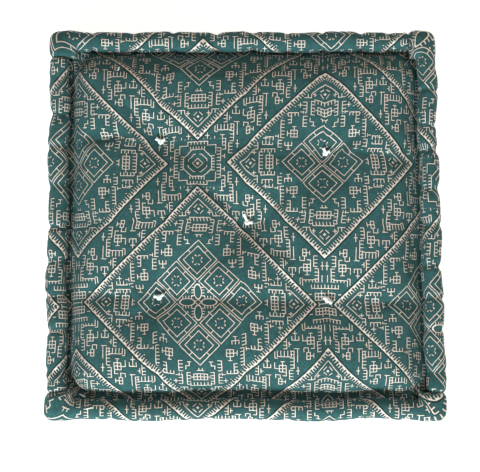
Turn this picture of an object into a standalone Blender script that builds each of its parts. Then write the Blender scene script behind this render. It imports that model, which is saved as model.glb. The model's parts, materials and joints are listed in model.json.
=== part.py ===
"""A square floor cushion with hand-stitched rolled edges, three batts of wadding and five tufts.

Units are metres and +Z is up. The origin is on the floor, under the middle of the cushion.
+Y is the back edge, +X the right edge.
"""

import math

import bmesh
import bpy
from mathutils import Vector
from mathutils.bvhtree import BVHTree

# Driving dimensions
WIDTH = 0.600  # over the edge rolls, along X
LENGTH = 0.590  # over the edge rolls, along Y
EDGE_HEIGHT = 0.098  # floor to the top of the upper rolls
CROWN_HEIGHT = 0.111  # floor to the highest point of the top panel
ROLL_R = 0.016
CORNER_R = 0.030  # of the rolls' centreline, in plan
CLOTH = 0.0012  # two layers of cotton, as sewn
GAP = 0.0003  # between pieces that touch
SEAM_GAP = 0.0021  # from a panel's edge to its roll, where the edge thread lies
THREAD_R = 0.0005
CORD_R = 0.0012
HOLE_R = 0.0022  # in the cloth and the batts, for the tuft cords
KNOT_R = 0.0042
KNOT_HEIGHT = 0.006
KNOT_CLEAR = 0.001
TAIL_R = 0.0009
TAIL_REACH = 0.011
TAIL_RISE = 0.008

# Where the five tufts pull the cushion in. Hand-set, so not quite regular.
TUFTS = {
    "back_left": (-0.129, 0.124),
    "back_right": (0.120, 0.106),
    "middle": (0.002, 0.001),
    "front_left": (-0.130, -0.112),
    "front_right": (0.122, -0.116),
}
TUFT_SPREAD = 0.072  # radius of the hollow round a tuft
TOP_TUFT_DEPTH = 0.024
BOTTOM_TUFT_DEPTH = 0.019
SHOULDER = 0.050  # how far in from its edge a panel is still curving
GRID = 20  # faces along a panel's side

ROLL_LOW_Z = ROLL_R
ROLL_HIGH_Z = EDGE_HEIGHT - ROLL_R
LINE_X = WIDTH / 2 - ROLL_R  # the rolls' centreline in plan
LINE_Y = LENGTH / 2 - ROLL_R
PANEL_INSET = ROLL_R + SEAM_GAP  # from the rolls' centreline to a panel's edge
SHOULDER_Z = 0.105  # the top panel's height where its shoulder ends
BOXING_BULGE = 0.007
PANEL_CLEAR = 0.0065  # wadding to panel, measured upright, so that it holds on the steep shoulder too
BOXING_CLEAR = 0.0013  # wadding to side panel

SIDES = ("right", "back", "left", "front")  # each a quarter turn on from the one before
ARC_STEPS = 4
STRAIGHT_END = 0.06  # of the corner's radius
MITRE_TRIM = math.radians(0.6)  # keeps the ends of neighbouring rolls apart


def clear_scene():
    for obj in list(bpy.data.objects):
        bpy.data.objects.remove(obj, do_unlink=True)


def collection(name):
    made = bpy.data.collections.new(name)
    bpy.context.scene.collection.children.link(made)
    return made


def material(name, color, roughness, metallic=0.0):
    made = bpy.data.materials.new(name)
    made.use_nodes = True
    shader = made.node_tree.nodes["Principled BSDF"]
    shader.inputs["Base Color"].default_value = (*color, 1.0)
    shader.inputs["Roughness"].default_value = roughness
    shader.inputs["Metallic"].default_value = metallic
    return made


def add_object(name, data, mat, group):
    obj = bpy.data.objects.new(name, data)
    obj.data.materials.append(mat)
    group.objects.link(obj)
    return obj


def mesh_from(bm, name):
    bmesh.ops.recalc_face_normals(bm, faces=bm.faces)
    mesh = bpy.data.meshes.new(name)
    bm.to_mesh(mesh)
    bm.free()
    return mesh


# Plan shapes


def side_path(side, inset, trim=0.0):
    """Plan points along one side of the rounded square that lies inset from the rolls' centreline.

    It runs from the middle of one corner to the middle of the next. trim shortens both ends by an angle.
    Each end has a short straight stretch, so that a tube's end faces lie square to the mitre.
    """
    turn = SIDES.index(side) * math.pi / 2
    out, along = (LINE_X, LINE_Y) if side in ("right", "left") else (LINE_Y, LINE_X)
    radius = CORNER_R - inset
    sweep = math.pi / 4 - trim
    half = []
    for step in range(ARC_STEPS):
        angle = sweep * step / ARC_STEPS
        half.append(Vector((radius * math.cos(angle), radius * math.sin(angle))))
    end = radius * Vector((math.cos(sweep), math.sin(sweep)))
    tangent = Vector((-math.sin(sweep), math.cos(sweep)))
    half += [end - tangent * radius * STRAIGHT_END, end]
    centre = Vector((out - CORNER_R, along - CORNER_R))
    points = [Vector((centre.x + p.x, -centre.y - p.y)) for p in reversed(half)]
    points += [centre + p for p in half]
    cos, sin = math.cos(turn), math.sin(turn)
    return [Vector((p.x * cos - p.y * sin, p.x * sin + p.y * cos)) for p in points]


def rounded_point(u, v, half_x, half_y, radius):
    """Where the point (u, v) of a square grid from -1 to 1 lies in a rounded rectangle."""
    reach = max(abs(u), abs(v))
    if reach == 0:
        return 0.0, 0.0
    x, y = half_x * u / reach, half_y * v / reach
    over_x = abs(x) - (half_x - radius)
    over_y = abs(y) - (half_y - radius)
    if over_x > 0 and over_y > 0:
        keep = 1 - radius / math.hypot(over_x, over_y)
        pull = reach**3
        return u * half_x - math.copysign(over_x * keep * pull, u), v * half_y - math.copysign(
            over_y * keep * pull, v
        )
    return u * half_x, v * half_y


def lay_out(verts, half_x, half_y, radius):
    """Lays a square grid out inside a rounded rectangle, eased over so that a point meets each tuft."""
    for vert in verts:
        vert.co.xy = rounded_point(vert.co.x, vert.co.y, half_x, half_y, radius)
    for tuft_xy in TUFTS.values():
        nearest = min((vert.co.xy for vert in verts), key=lambda xy: (xy - Vector(tuft_xy)).length).copy()
        for vert in verts:
            share = max(1 - (vert.co.xy - nearest).length / TUFT_SPREAD, 0.0)
            vert.co.xy += (Vector(tuft_xy) - nearest) * share


def edge_distance(x, y, half_x, half_y, radius):
    """How far (x, y) is inside a rounded rectangle's edge."""
    over_x = abs(x) - (half_x - radius)
    over_y = abs(y) - (half_y - radius)
    outside = math.hypot(max(over_x, 0), max(over_y, 0))
    return radius - outside - min(max(over_x, over_y), 0)


# Heights of the cloth

PANEL_X = LINE_X - PANEL_INSET
PANEL_Y = LINE_Y - PANEL_INSET
PANEL_CORNER = CORNER_R - PANEL_INSET


def shoulder(x, y):
    """0 at a panel's edge and 1 once its shoulder is over, along a quarter of an ellipse."""
    inside = edge_distance(x, y, PANEL_X, PANEL_Y, PANEL_CORNER)
    share = min(max(inside / SHOULDER, 0.0), 1.0)
    return math.sqrt(1 - (1 - share) ** 2)


def tuft_pull(x, y, depth):
    nearest = min(math.hypot(x - cx, y - cy) for cx, cy in TUFTS.values())
    return depth * max(1 - nearest / TUFT_SPREAD, 0.0) ** 2


def top_z(x, y):
    """Outer face of the top panel."""
    crown = (CROWN_HEIGHT - SHOULDER_Z) * (1 - (x / PANEL_X) ** 2) * (1 - (y / PANEL_Y) ** 2)
    rise = (SHOULDER_Z - ROLL_HIGH_Z) * shoulder(x, y)
    return ROLL_HIGH_Z + rise + crown - tuft_pull(x, y, TOP_TUFT_DEPTH)


def bottom_z(x, y):
    """Outer face of the bottom panel, flat on the floor between the tufts and the shoulder."""
    return ROLL_LOW_Z * (1 - shoulder(x, y)) + tuft_pull(x, y, BOTTOM_TUFT_DEPTH)


# Pieces


def tube(name, points, radius, resolution, mat, group):
    curve = bpy.data.curves.new(name, "CURVE")
    curve.dimensions = "3D"
    curve.bevel_depth = radius
    curve.bevel_resolution = resolution
    curve.use_fill_caps = True
    spline = curve.splines.new("POLY")
    spline.points.add(len(points) - 1)
    for point, place in zip(spline.points, points):
        point.co = (*place, 1.0)
    return add_object(name, curve, mat, group)


def edge_roll(name, side, z, mat, group):
    """Cloth and stuffing pinched into a roll along one side, mitred to its neighbours."""
    path = [(p.x, p.y, z) for p in side_path(side, 0.0, MITRE_TRIM)]
    return tube(name, path, ROLL_R, 4, mat, group)


def edge_thread(name, side, z, mat, group):
    """The thread that draws in the groove between a panel and its roll."""
    path = [(p.x, p.y, z) for p in side_path(side, ROLL_R + SEAM_GAP / 2, MITRE_TRIM)]
    return tube(name, path, THREAD_R, 2, mat, group)


def boxing(name, side, mat, group):
    """The upright strip of one side, which bulges out between the lower and the upper roll."""
    low = ROLL_LOW_Z + ROLL_R + GAP * 2
    high = ROLL_HIGH_Z - ROLL_R - GAP * 2
    rows = 6
    bm = bmesh.new()
    grid = []
    for row in range(rows + 1):
        share = row / rows
        bulge = BOXING_BULGE * math.sin(math.pi * share)
        path = side_path(side, -bulge, MITRE_TRIM)
        grid.append([bm.verts.new((p.x, p.y, low + (high - low) * share)) for p in path])
    for below, above in zip(grid, grid[1:]):
        for i in range(len(below) - 1):
            bm.faces.new((below[i], below[i + 1], above[i + 1], above[i]))
    mesh = bpy.data.meshes.new(name)
    bm.to_mesh(mesh)
    bm.free()
    obj = add_object(name, mesh, mat, group)
    solid = obj.modifiers.new("Cloth", "SOLIDIFY")
    solid.thickness = CLOTH
    solid.offset = -1
    return obj


def panel(name, height, facing_up, mat, group):
    """A thin shell of cloth that follows a height function inside the rolls."""
    bm = bmesh.new()
    bmesh.ops.create_grid(bm, x_segments=GRID, y_segments=GRID, size=1.0)
    lay_out(bm.verts, PANEL_X, PANEL_Y, PANEL_CORNER)
    for vert in bm.verts:
        vert.co.z = height(vert.co.x, vert.co.y)
    if not facing_up:
        bmesh.ops.reverse_faces(bm, faces=bm.faces)
    mesh = bpy.data.meshes.new(name)
    bm.to_mesh(mesh)
    bm.free()
    obj = add_object(name, mesh, mat, group)
    solid = obj.modifiers.new("Cloth", "SOLIDIFY")
    solid.thickness = CLOTH
    solid.offset = -1
    return obj


def batt(name, inset, low, high, mat, group):
    """One layer of wadding. low and high are each a height, where it is flat, or a function of x and y."""
    half_x, half_y = LINE_X - inset, LINE_Y - inset
    radius = CORNER_R - inset
    bm = bmesh.new()
    bmesh.ops.create_grid(bm, x_segments=GRID, y_segments=GRID, size=1.0)
    lower = list(bm.faces)
    raised = bmesh.ops.extrude_face_region(bm, geom=lower, use_keep_orig=True)["geom"]
    upper = [item for item in raised if isinstance(item, bmesh.types.BMFace)]
    for faces, height in ((lower, low), (upper, high)):
        verts = [vert for vert in bm.verts if any(face in faces for face in vert.link_faces)]
        lay_out(verts, half_x, half_y, radius)
        for vert in verts:
            vert.co.z = height(vert.co.x, vert.co.y) if callable(height) else height
        if not callable(height):
            bmesh.ops.dissolve_faces(bm, faces=faces)
    return add_object(name, mesh_from(bm, name), mat, group)


def tuft_holes(group):
    """A peg through every tuft, which cuts the cloth and the batts."""
    bm = bmesh.new()
    for x, y in TUFTS.values():
        peg = bmesh.ops.create_cone(
            bm, cap_ends=True, segments=10, radius1=HOLE_R, radius2=HOLE_R, depth=2 * CROWN_HEIGHT
        )
        bmesh.ops.translate(bm, verts=peg["verts"], vec=(x, y, CROWN_HEIGHT / 2))
    obj = bpy.data.objects.new("tuft_pegs", mesh_from(bm, "tuft_pegs"))
    obj.hide_render = True
    obj.display_type = "WIRE"
    group.objects.link(obj)
    return obj


def cut_holes(obj, pegs):
    cut = obj.modifiers.new("Tuft holes", "BOOLEAN")
    cut.operation = "DIFFERENCE"
    cut.solver = "EXACT"
    cut.object = pegs


def highest_near(obj, x, y, radius, direction):
    """The height of a panel's outer face round (x, y): its highest from above, its lowest from below."""
    bpy.context.view_layer.update()
    tree = BVHTree.FromObject(obj, bpy.context.evaluated_depsgraph_get())
    heights = []
    for step in range(12):
        angle = step * math.pi / 6
        start = Vector((x + radius * math.cos(angle), y + radius * math.sin(angle), direction))
        hit = tree.ray_cast(start, Vector((0, 0, -direction)))[0]
        heights.append(hit.z)
    return max(heights) if direction > 0 else min(heights)


def knot(name, x, y, face_z, direction, lean, mat, group):
    """A tied knot on a panel with one cut tail, as one body. direction is 1 on top and -1 underneath."""
    centre = Vector((x, y, face_z + direction * (KNOT_HEIGHT / 2 + GAP)))
    bm = bmesh.new()
    bmesh.ops.create_icosphere(bm, subdivisions=2, radius=1.0)
    bmesh.ops.scale(bm, verts=bm.verts, vec=(KNOT_R, KNOT_R, KNOT_HEIGHT / 2))
    bmesh.ops.translate(bm, verts=bm.verts, vec=centre)
    obj = add_object(name, mesh_from(bm, name), mat, group)

    reach = Vector((math.cos(lean), math.sin(lean), 0)) * TAIL_REACH
    points = []
    for share in (0, 0.25, 0.5, 0.75, 1):
        lift = direction * TAIL_RISE * math.sin(share * math.pi / 2)
        points.append(centre + reach * share + Vector((0, 0, lift)))
    tail = tube(name + "_tail", points, TAIL_R, 2, mat, group)
    bpy.context.view_layer.update()
    shape = bpy.data.meshes.new_from_object(tail.evaluated_get(bpy.context.evaluated_depsgraph_get()))
    bpy.data.objects.remove(tail, do_unlink=True)
    bm = bmesh.new()
    bm.from_mesh(shape)
    bmesh.ops.remove_doubles(bm, verts=bm.verts, dist=1e-6)
    tail = bpy.data.objects.new(name + "_tail", mesh_from(bm, name + "_tail"))
    tail.hide_render = True
    tail.display_type = "WIRE"
    bpy.data.collections["cutters"].objects.link(tail)
    join = obj.modifiers.new("Tail", "BOOLEAN")
    join.operation = "UNION"
    join.solver = "EXACT"
    join.object = tail
    return obj


def tuft(place, x, y, top_panel, bottom_panel, mat, group):
    """A cord through the cushion, knotted over the top panel and under the bottom one."""
    index = list(TUFTS).index(place)
    upper = highest_near(top_panel, x, y, KNOT_R + KNOT_CLEAR, 1)
    lower = highest_near(bottom_panel, x, y, KNOT_R + KNOT_CLEAR, -1)
    knot(f"top_knot_{place}", x, y, upper, 1, 0.7 + 1.9 * index, mat, group)
    knot(f"bottom_knot_{place}", x, y, lower, -1, 2.1 + 1.7 * index, mat, group)
    tube(f"tuft_cord_{place}", [(x, y, lower), (x, y, upper)], CORD_R, 2, mat, group)


def main():
    clear_scene()
    group = collection("floor_cushion")
    cutters = collection("cutters")
    print_cloth = material("printed_cotton", (0.045, 0.115, 0.11), 0.75)
    edge_cloth = material("printed_cotton_edge", (0.05, 0.13, 0.125), 0.75)
    wadding = material("cotton_wadding", (0.78, 0.74, 0.66), 0.95)
    white_cord = material("white_cotton_cord", (0.85, 0.84, 0.8), 0.9)

    top_panel = panel("top_panel", top_z, True, print_cloth, group)
    bottom_panel = panel("bottom_panel", bottom_z, False, print_cloth, group)
    for side in SIDES:
        boxing(f"side_panel_{side}", side, print_cloth, group)
        edge_roll(f"top_edge_roll_{side}", side, ROLL_HIGH_Z, edge_cloth, group)
        edge_roll(f"bottom_edge_roll_{side}", side, ROLL_LOW_Z, edge_cloth, group)
        edge_thread(f"top_edge_thread_{side}", side, ROLL_HIGH_Z, white_cord, group)
        edge_thread(f"bottom_edge_thread_{side}", side, ROLL_LOW_Z, white_cord, group)
    for place, (x, y) in TUFTS.items():
        tuft(place, x, y, top_panel, bottom_panel, white_cord, group)

    split_low = 2 * ROLL_R + GAP * 3
    split_high = EDGE_HEIGHT - split_low
    outer = PANEL_INSET
    inner = CLOTH + BOXING_CLEAR

    def over_bottom(x, y):
        return bottom_z(x, y) + PANEL_CLEAR

    def under_top(x, y):
        return top_z(x, y) - PANEL_CLEAR

    stuffing = [
        batt("wadding_bottom", outer, over_bottom, split_low - GAP, wadding, group),
        batt("wadding_middle", inner, split_low, split_high, wadding, group),
        batt("wadding_top", outer, split_high + GAP, under_top, wadding, group),
    ]
    pegs = tuft_holes(cutters)
    for obj in (top_panel, bottom_panel, *stuffing):
        cut_holes(obj, pegs)


main()
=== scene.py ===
"""The looks of a square floor cushion: puffed, tufted panels of printed cotton, rolled edges and knots."""

import json
import math
import random
from functools import partialmethod

import bpy
import numpy as np
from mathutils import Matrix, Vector

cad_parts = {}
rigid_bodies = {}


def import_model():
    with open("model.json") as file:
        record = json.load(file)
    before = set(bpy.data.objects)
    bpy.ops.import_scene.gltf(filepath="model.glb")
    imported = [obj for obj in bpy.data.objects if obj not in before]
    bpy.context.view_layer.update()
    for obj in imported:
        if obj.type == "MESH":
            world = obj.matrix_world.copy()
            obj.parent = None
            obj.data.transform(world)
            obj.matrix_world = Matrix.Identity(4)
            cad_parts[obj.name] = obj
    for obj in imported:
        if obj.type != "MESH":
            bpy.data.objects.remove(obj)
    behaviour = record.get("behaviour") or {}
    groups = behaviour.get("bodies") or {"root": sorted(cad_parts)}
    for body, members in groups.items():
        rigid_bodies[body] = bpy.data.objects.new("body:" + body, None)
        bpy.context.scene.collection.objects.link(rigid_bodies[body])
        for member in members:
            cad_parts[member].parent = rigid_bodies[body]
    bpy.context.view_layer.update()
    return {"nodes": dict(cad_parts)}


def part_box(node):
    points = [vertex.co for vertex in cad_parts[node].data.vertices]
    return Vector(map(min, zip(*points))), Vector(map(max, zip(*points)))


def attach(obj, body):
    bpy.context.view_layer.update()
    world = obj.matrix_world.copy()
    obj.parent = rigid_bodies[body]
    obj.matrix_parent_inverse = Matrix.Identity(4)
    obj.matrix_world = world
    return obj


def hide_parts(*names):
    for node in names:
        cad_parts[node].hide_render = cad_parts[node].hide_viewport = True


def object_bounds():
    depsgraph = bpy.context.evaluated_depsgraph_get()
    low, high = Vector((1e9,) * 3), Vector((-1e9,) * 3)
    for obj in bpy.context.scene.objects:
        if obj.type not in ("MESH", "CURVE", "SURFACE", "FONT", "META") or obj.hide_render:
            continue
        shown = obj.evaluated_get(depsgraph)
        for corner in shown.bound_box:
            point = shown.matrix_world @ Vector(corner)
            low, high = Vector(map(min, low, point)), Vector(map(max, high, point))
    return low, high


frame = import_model()

SIDES = ("right", "back", "left", "front")
PLACES = ("back_left", "back_right", "middle", "front_left", "front_right")
LAYERS = ("top", "bottom")

# Measures read off the frame
roll_low, roll_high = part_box("top_edge_roll_right")
ROLL_R = (roll_high.z - roll_low.z) / 2
ROLL_Z = (roll_high.z + roll_low.z) / 2  # of the upper rolls' centreline
low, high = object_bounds()
LINE_X = high.x - ROLL_R  # the rolls' centreline in plan
LINE_Y = high.y - ROLL_R
PANEL_X, PANEL_Y, CROWN_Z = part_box("top_panel")[1]
MIDDLE_Z = roll_high.z / 2  # half way up the cushion's sides, where its upper and lower halves meet


def tuft_point(place, layer):
    """Where a tuft's cord comes out of the cloth."""
    cord_low, cord_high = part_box(f"tuft_cord_{place}")
    middle = (cord_low + cord_high) / 2
    return Vector((middle.x, middle.y, cord_high.z if layer == "top" else cord_low.z))


# ---------------------------------------------------------------- materials


def feed(slot, value):
    """Gives a node's input a number, a colour or a vector, or joins it to a Num or to a socket."""
    if isinstance(value, Num):
        value = value.socket
    if isinstance(value, bpy.types.NodeSocket):
        slot.id_data.links.new(value, slot)
    else:
        slot.default_value = value


def new_node(tree, kind, inputs, **settings):
    """Adds a node. inputs says what goes into its inputs, by their names or numbers."""
    made = tree.nodes.new("ShaderNode" + kind)
    for name, value in settings.items():
        setattr(made, name, value)
    for slot, value in inputs.items():
        feed(made.inputs[slot], value)
    return made


class Num:
    """A number at each point of a surface, worked out by shader nodes, so that a pattern reads as sums."""

    def __init__(self, tree, socket):
        self.tree, self.socket = tree, socket

    def node(self, kind, *values, clamp=False):
        inputs = dict(enumerate((self, *values)))
        return Num(self.tree, new_node(self.tree, "Math", inputs, operation=kind, use_clamp=clamp).outputs[0])

    __add__ = partialmethod(node, "ADD")
    __sub__ = partialmethod(node, "SUBTRACT")
    __mul__ = partialmethod(node, "MULTIPLY")
    __abs__ = partialmethod(node, "ABSOLUTE")
    floor = partialmethod(node, "FLOOR")
    fold = partialmethod(node, "PINGPONG")  # 0 to a value and back again, over and over
    cycle = partialmethod(node, "WRAP", 0.0)  # 0 to a value, over and over
    least = partialmethod(node, "MINIMUM")
    most = partialmethod(node, "MAXIMUM")
    below = partialmethod(node, "LESS_THAN")
    above = partialmethod(node, "GREATER_THAN")
    clamp = partialmethod(node, "ADD", 0.0, clamp=True)

    def rsub(self, value):
        return (self * -1) + value

    def step(self, low, high):
        """0 up to low, 1 from high, and even in between."""
        made = new_node(self.tree, "MapRange", {"Value": self, "From Min": low, "From Max": high})
        return Num(self.tree, made.outputs["Result"])

    def pick(self, when_zero, when_one):
        """when_zero where this is 0, and when_one where it is 1."""
        return Num(self.tree, new_node(self.tree, "Mix", {0: self, 2: when_zero, 3: when_one}).outputs[0])


def vector_node(tree, kind, *values):
    made = new_node(tree, "VectorMath", dict(enumerate(values)), operation=kind)
    return made.outputs["Value"] if kind == "LENGTH" else made.outputs["Vector"]


def mix_colors(tree, share, when_zero, when_one):
    """The colour between two others, each given as red, green and blue or as a socket."""
    ends = ((*value, 1) if isinstance(value, tuple) else value for value in (when_zero, when_one))
    return new_node(tree, "Mix", dict(zip((0, 6, 7), (share, *ends))), data_type="RGBA").outputs[2]


def bump(tree, height, strength, distance):
    """Bumps of this height, from 0 to 1, times a distance in metres."""
    return new_node(tree, "Bump", {"Strength": strength, "Distance": distance, "Height": height}).outputs[0]


def new_material(name):
    """A material, its node tree and its shader's inputs."""
    mat = bpy.data.materials.new(name)
    mat.use_nodes = True
    return mat, mat.node_tree, mat.node_tree.nodes["Principled BSDF"].inputs


def nearest_of(first, *others):
    for other in others:
        first = first.least(other)
    return first


def bars(x, y, strokes):
    """The distance to the nearest of some strokes, each given as x0, y0, x1, y1 and upright or level."""
    tree = x.tree
    join = new_node(tree, "CombineXYZ", {"X": x, "Y": y})
    gaps = []
    for x0, y0, x1, y1 in strokes:
        centre = ((x0 + x1) / 2, (y0 + y1) / 2, 0)
        half = (abs(x1 - x0) / 2, abs(y1 - y0) / 2, 0)
        offset = vector_node(tree, "SUBTRACT", join.outputs[0], centre)
        beyond = vector_node(tree, "SUBTRACT", vector_node(tree, "ABSOLUTE", offset), half)
        gaps.append(Num(tree, vector_node(tree, "LENGTH", vector_node(tree, "MAXIMUM", beyond, (0, 0, 0)))))
    return nearest_of(*gaps)


def outside_of(value, low, high):
    """How far a value is outside low to high, and less than 0 inside."""
    return abs(value - (low + high) / 2) - (high - low) / 2


PITCH = 1.75  # from one tooth of a comb or line of a lattice to the next
SAW_PITCH = 1.5


def teeth(x, y, x0, x1, y0, y1):
    """The distance to a row of strokes from y0 to y1, the first at x0 and none past x1."""
    return (x - x0).fold(SAW_PITCH / 2).most(outside_of(x, x0, x1)).most(outside_of(y, y0, y1))


def comb(x, y, x0, x1, back, tips):
    """A row of strokes joined along their ends at y = back."""
    low, high = min(back, tips), max(back, tips)
    row = (x - x0).fold(PITCH / 2).most(outside_of(y, low, high))
    return row.least(abs(y - back)).most(outside_of(x, x0, x1))


def lattice(x, y, x0, x1, y0, y1):
    """Squares side by side."""
    lines = (x - x0).fold(PITCH / 2).least((y - y0).fold(PITCH / 2))
    return lines.most(outside_of(x, x0, x1)).most(outside_of(y, y0, y1))


# The print. Its unit is 3 mm of cloth. Two sizes of diamond, A and B, stand point to point on a grid, and
# the whole repeats by folding: (0, 0) is the middle of an A, and (FOLD_X, FOLD_Y) the middle of a B.
UNIT = 0.003
FOLD_X, FOLD_Y = 65.0, 73.0
A_EDGE = 49.0  # the diamonds' half widths
B_EDGE = 60.0
CELL = 22.0  # the nested diamonds inside A and B, two by two in A and three by three in B
TIP = 1 / math.sqrt(2)  # distance across a diagonal stroke, for each unit along x or y
STROKE = 0.40  # the width of a line
RING_STEP = 12.6  # how far apart along x the ring's figures and the band's figures repeat
BAND_STEP = 14.4
TOOTH = 3.2  # a border's teeth
TOOTH_FOOT = 1.1


def border(edge_gap, slope):
    """A diamond's border: a solid line with teeth in pairs on its inner side. edge_gap is 0 on the line."""
    line = abs(edge_gap) * TIP - 0.04
    pair = slope.fold(2.0)
    tooth = (abs(pair - 1.0) * TIP).most(outside_of(edge_gap, 0.0, TOOTH) * TIP)
    foot = ((pair - 1.0) * TIP).most(outside_of(edge_gap, 0.0, TOOTH_FOOT) * TIP)
    return line.least(tooth + 0.02).least(foot + 0.14)


def nested_diamond(s, t):
    """Rings in a cell of the nested diamonds. s and t run across the cell from its middle."""
    far, near = abs(s).most(abs(t)), abs(s).least(abs(t))
    outer = abs(far - 10.2) * TIP
    inner = abs(far - 7.2) * TIP
    rung = near.most(outside_of(far, 7.2, 10.2)) * TIP
    tick = (far - 3.6).most(near - 1.5)
    ticks = abs(tick).most(outside_of(far, 2.4, 4.8)).most(outside_of(near, 0.9, 2.4)) * TIP
    return outer.least(inner).least(rung).least(ticks + 0.03)


def flower(x, y):
    """Four petals with saw edges, dots between them and a small diamond in the middle."""
    big, small = x.most(y), x.least(y)
    petal_x, petal_y = (big - 5.6) * (1 / 3.9), small * (1 / 1.9)
    petal = abs((petal_x * petal_x + petal_y * petal_y).node("SQRT") - 1.0) * 1.9
    saw = teeth(big, small, 3.4, 7.9, 2.0, 3.2)
    dot = (abs(big - 5.4).most(abs(small - 5.4)) - 0.2).most(0.0)
    core = abs(x + y - 1.6) * TIP
    return petal.least(saw).least(dot).least(core)


def ring_motif(x, y):
    """Between the nested diamonds, whose edge is at y = -x, and the border. It repeats down the slope."""
    marks = bars(x, y, [
        (2.4, 19.6, 4.6, 19.6), (3.5, 19.6, 3.5, 21.6), (6.6, 15.6, 6.6, 18.0), (6.6, 16.8, 8.6, 16.8),
        (9.6, 12.2, 9.6, 13.6), (8.7, 13.6, 10.5, 13.6), (4.4, 5.6, 6.2, 5.6), (6.2, 4.4, 6.2, 6.8),
        (5.5, -0.6, 5.5, -2.6), (4.6, -2.6, 6.4, -2.6), (2.65, 7.3, 2.65, 9.2), (1.8, 9.2, 3.5, 9.2),
        (10.8, 3.4, 10.8, 5.0), (10.8, 4.2, 12.4, 4.2),
    ])
    return nearest_of(
        comb(x, y, 0.8, 7.8, 16.4, 14.8),
        comb(y, x, 11.0, 16.25, 4.3, 5.9),
        comb(y, x, 3.4, 12.15, 9.6, 7.9),
        lattice(x, y, 0.9, 4.4, 3.8, 7.3),
        comb(y, x, -3.2, 2.05, 10.8, 8.9),
        comb(x, y, 3.8, 7.3, -0.6, 1.1),
        marks,
    )


def band_motif(x, y):
    """Between A's border, which is at y = -x, and B's. It repeats down the slope."""
    marks = bars(x, y, [
        (8.95, 6.9, 8.95, 8.9), (8.0, 8.9, 9.9, 8.9), (10.7, 5.15, 13.0, 5.15), (13.0, 5.15, 13.0, 8.2),
        (7.2, 1.2, 7.2, 3.4), (7.2, 1.2, 8.9, 1.2), (10.3, -0.7, 10.3, 1.6), (10.3, 1.6, 12.6, 1.6),
        (12.6, -0.4, 12.6, 1.6), (7.6, -2.4, 9.4, -2.4), (7.6, -3.4, 7.6, -1.4), (1.2, 2.2, 1.2, 6.2),
        (0.4, 4.2, 2.0, 4.2), (1.4, 9.0, 1.4, 15.6), (0.6, 15.6, 3.2, 15.6), (12.9, 10.6, 12.9, 13.6),
        (11.6, 10.6, 12.9, 10.6), (2.4, 21.6, 2.4, 24.4), (1.4, 23.2, 3.4, 23.2),
        (5.6, 16.4, 5.6, 18.8), (4.6, 17.6, 5.6, 17.6),
    ])
    return nearest_of(
        comb(x, y, 4.6, 11.6, 11.4, 14.2),
        comb(y, x, 5.6, 14.35, 3.2, 5.0),
        lattice(x, y, 7.2, 10.7, 3.4, 6.9),
        lattice(x, y, 9.4, 11.15, -4.2, -0.7),
        comb(y, x, -0.8, 4.45, 5.6, 3.8),
        comb(y, x, 15.4, 20.65, 6.8, 8.4),
        comb(x, y, 0.6, 4.1, 19.8, 21.6),
        marks,
    )


def medallion(x, y):
    """An eight-sided figure beside A's side points."""
    eight = x.most(y).most((x + y) * TIP)
    rings = abs(eight - 7.4).least((abs(eight - 4.9)).most((x.least(y) - 0.9) * -1 + 0.3))
    fringe = teeth(x, y, 0.75, 3.8, 7.4, 8.8).least(teeth(y, x, 0.75, 3.8, 7.4, 8.8))
    diamond = abs(x + y - 2.8) * TIP
    frets = comb(y, x, 0.9, 7.9, 12.2, 10.4).least(comb(x, y, 0.0, 5.25, 11.6, 10.2))
    dot = (x.most(y) - 0.5).most(0.0)
    corner = abs(x.most(y) - 9.6).most((x.least(y) - 5.0) * -1)
    return nearest_of(rings, fringe, diamond, frets, dot, corner)


def crossing(x, y):
    """A dense block of small squares and combs above and below A's end points."""
    marks = bars(x, y, [
        (1.75, 5.7, 1.75, 7.2), (0.0, 0.0, 3.4, 0.0), (3.4, 0.0, 3.4, 1.0), (8.8, 2.6, 10.6, 2.6),
    ])
    return nearest_of(
        lattice(x, y, 0.0, 5.25, 2.2, 5.7),
        comb(x, y, 0.0, 7.0, 8.2, 10.0),
        comb(y, x, 0.0, 5.25, 8.8, 7.2),
        marks,
    )


def point_motif(x, y):
    """In a corner of a diamond, from its border's point, at y = 0, to the nested diamonds."""
    roof = (abs(y - x - 6.2) * TIP).most((x - 6.6) * TIP)
    lozenge = abs(y - 11.6) + x
    dashes = (abs(lozenge - 3.0) * TIP).most((abs(y - 11.6).least(x) - 0.8) * -1)
    dot = (lozenge - 0.5) * TIP
    marks = bars(x, y, [
        (0.0, 25.0, 1.75, 25.0), (0.875, 25.0, 0.875, 26.6), (3.5, 21.35, 5.2, 21.35),
        (12.6, 18.0, 12.6, 20.4), (11.6, 19.2, 13.6, 19.2), (4.4, 13.4, 6.2, 13.4), (5.3, 12.4, 5.3, 14.4),
        (8.9, 24.6, 10.7, 24.6),
    ])
    return nearest_of(
        roof,
        dashes,
        dot.most(0.0),
        comb(x, y, 0.0, 5.25, 16.0, 17.8),
        comb(x, y, 7.0, 10.5, 15.2, 13.4),
        lattice(x, y, 0.0, 3.5, 19.6, 23.1),
        comb(y, x, 17.0, 23.99, 6.9, 5.2),
        comb(y, x, 17.6, 22.85, 9.2, 11.0),
        marks,
    )


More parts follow.
